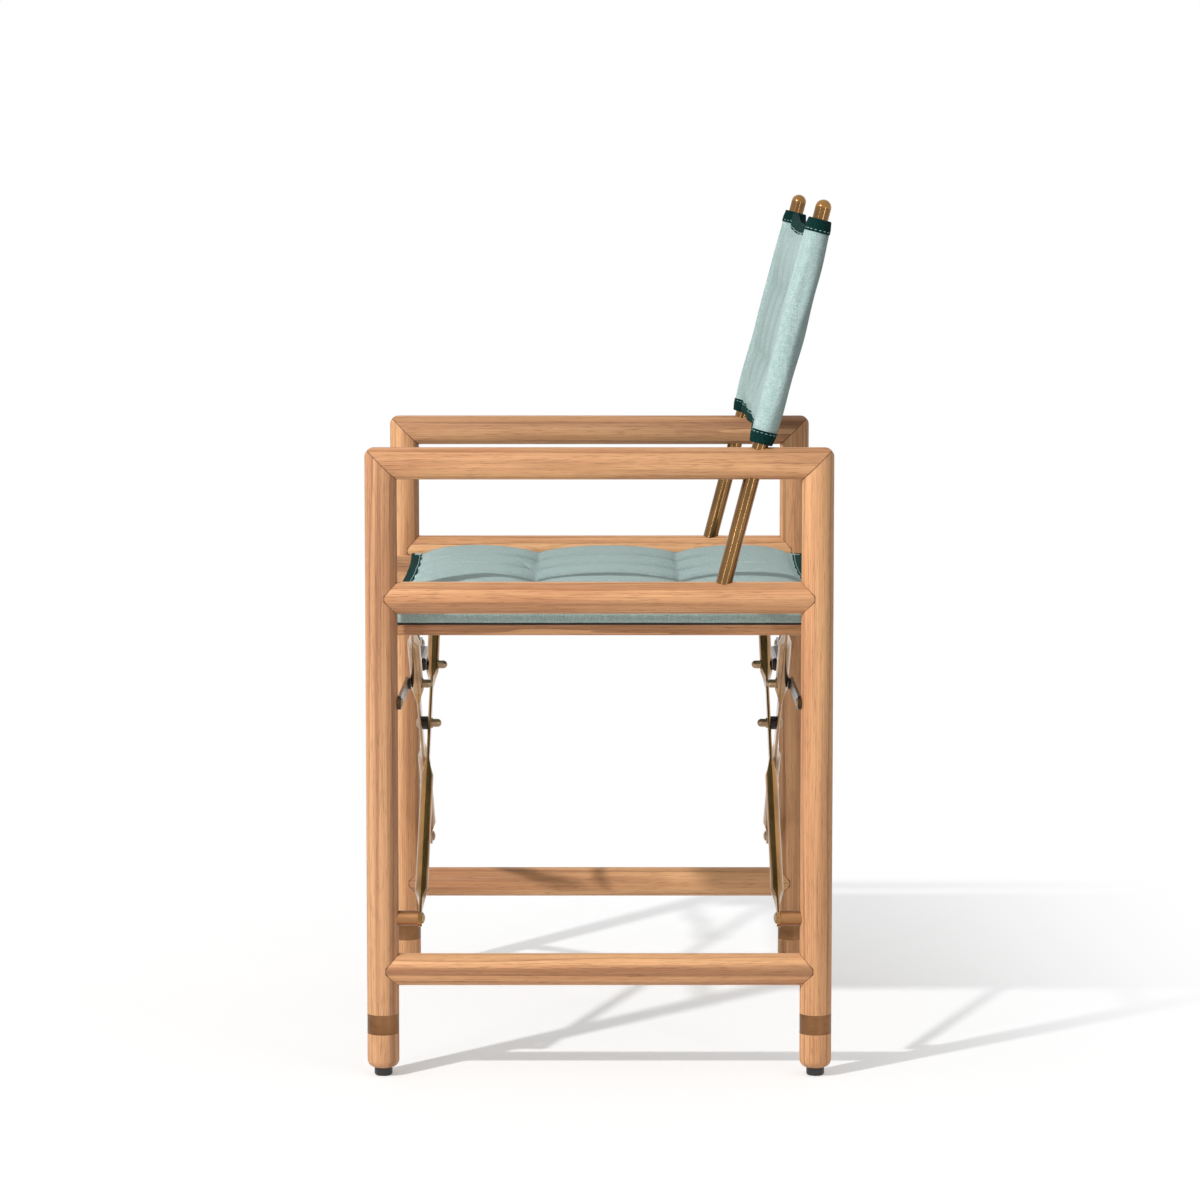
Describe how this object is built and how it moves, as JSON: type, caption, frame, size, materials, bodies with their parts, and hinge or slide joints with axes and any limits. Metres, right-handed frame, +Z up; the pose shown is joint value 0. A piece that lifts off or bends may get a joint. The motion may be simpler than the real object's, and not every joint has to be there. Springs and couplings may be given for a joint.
{
  "type": "folding directors chair",
  "caption": "Folding directors chair with round teak side frames, brass cross brace and leaning back tubes, and a quilted canvas seat and back with dark binding.",
  "frame": {"origin": "on the floor, below the middle of the four posts", "axes": "+Z up, -Y to the front of the chair, +X to the right as seen from the front"},
  "size_m": [0.562, 0.466, 0.8766],
  "materials": {
    "teak": "oiled, fine straight grain",
    "dowel_wood": "plain",
    "brass": "antique brushed",
    "dark_brass": "dark antique",
    "black_plastic": "matte",
    "canvas": "woven melange canvas",
    "binding": "woven tape, stitched"
  },
  "bodies": {
    "right_frame": {"right_front_post": "teak", "right_rear_post": "teak", "right_arm": "teak", "right_side_rail": "teak", "right_lower_rail": "teak", "right_frame_dowels": "dowel_wood", "right_ferrules": "brass", "right_glides": "black_plastic", "right_pivot_bosses": "brass", "right_pivot_screws": "brass", "right_link_screws": "brass", "right_back_tube": "brass", "right_back_plug": "brass", "right_back_sleeve": "canvas", "right_sleeve_bands": "binding", "back_panel": "canvas", "back_top_binding": "binding", "back_bottom_binding": "binding"},
    "left_frame": {"left_front_post": "teak", "left_rear_post": "teak", "left_arm": "teak", "left_side_rail": "teak", "left_lower_rail": "teak", "left_frame_dowels": "dowel_wood", "left_ferrules": "brass", "left_glides": "black_plastic", "left_pivot_bosses": "brass", "left_pivot_screws": "brass", "left_link_screws": "brass", "left_back_tube": "brass", "left_back_plug": "brass", "left_back_sleeve": "canvas", "left_sleeve_bands": "binding"},
    "bars_a": {"front_bar_a": "brass", "rear_bar_a": "brass", "centre_bolts": "brass", "centre_spacers": "black_plastic", "centre_nuts": "brass", "left_link_studs": "brass"},
    "bars_b": {"front_bar_b": "brass", "rear_bar_b": "brass", "right_link_studs": "brass"},
    "right_seat": {"right_seat_rail": "teak", "right_seat_rail_pins": "brass", "right_seat_wrap": "canvas", "seat_panel": "canvas", "seat_front_binding": "binding", "seat_rear_binding": "binding"},
    "left_seat": {"left_seat_rail": "teak", "left_seat_rail_pins": "brass", "left_seat_wrap": "canvas"},
    "right_links": {"right_stay_links": "dark_brass", "right_link_bolts": "brass", "right_link_washers": "black_plastic"},
    "left_links": {"left_stay_links": "dark_brass", "left_link_bolts": "brass", "left_link_washers": "black_plastic"}
  },
  "joints": [
    {"name": "fold", "type": "hinge", "parent": "right_frame", "child": "bars_a", "pos_m": [0.265, 0, 0.1595], "axis": [0, 1, 0], "range_deg": [0, 34.5], "deforming": ["seat_panel", "seat_front_binding", "seat_rear_binding", "back_panel", "back_top_binding", "back_bottom_binding"]},
    {"name": "bar_crossing", "type": "hinge", "parent": "bars_a", "child": "bars_b", "pos_m": [0, 0, 0.322], "axis": [0, 1, 0], "range_deg": [-69, 0]},
    {"name": "left_post_pivot", "type": "hinge", "parent": "bars_b", "child": "left_frame", "pos_m": [-0.265, 0, 0.1595], "axis": [0, 1, 0], "range_deg": [0, 34.5]},
    {"name": "left_seat_pivot", "type": "hinge", "parent": "bars_a", "child": "left_seat", "pos_m": [-0.205, 0, 0.4477], "axis": [0, 1, 0], "range_deg": [-34.5, 0]},
    {"name": "right_seat_pivot", "type": "hinge", "parent": "bars_b", "child": "right_seat", "pos_m": [0.205, 0, 0.4477], "axis": [0, 1, 0], "range_deg": [0, 34.5]},
    {"name": "right_link_pivot", "type": "hinge", "parent": "right_frame", "child": "right_links", "pos_m": [0.265, 0, 0.37686], "axis": [0, 1, 0], "range_deg": [0, 62.36]},
    {"name": "left_link_pivot", "type": "hinge", "parent": "left_frame", "child": "left_links", "pos_m": [-0.265, 0, 0.37686], "axis": [0, 1, 0], "range_deg": [-62.36, 0]}
  ],
  "couplings": [
    {"joint": "bar_crossing", "follows": "fold", "ratio": -2},
    {"joint": "left_post_pivot", "follows": "fold", "ratio": 1},
    {"joint": "left_seat_pivot", "follows": "fold", "ratio": -1},
    {"joint": "right_seat_pivot", "follows": "fold", "ratio": 1},
    {"joint": "right_link_pivot", "follows": "fold", "ratio": 1.8073},
    {"joint": "left_link_pivot", "follows": "fold", "ratio": -1.8073}
  ]
}
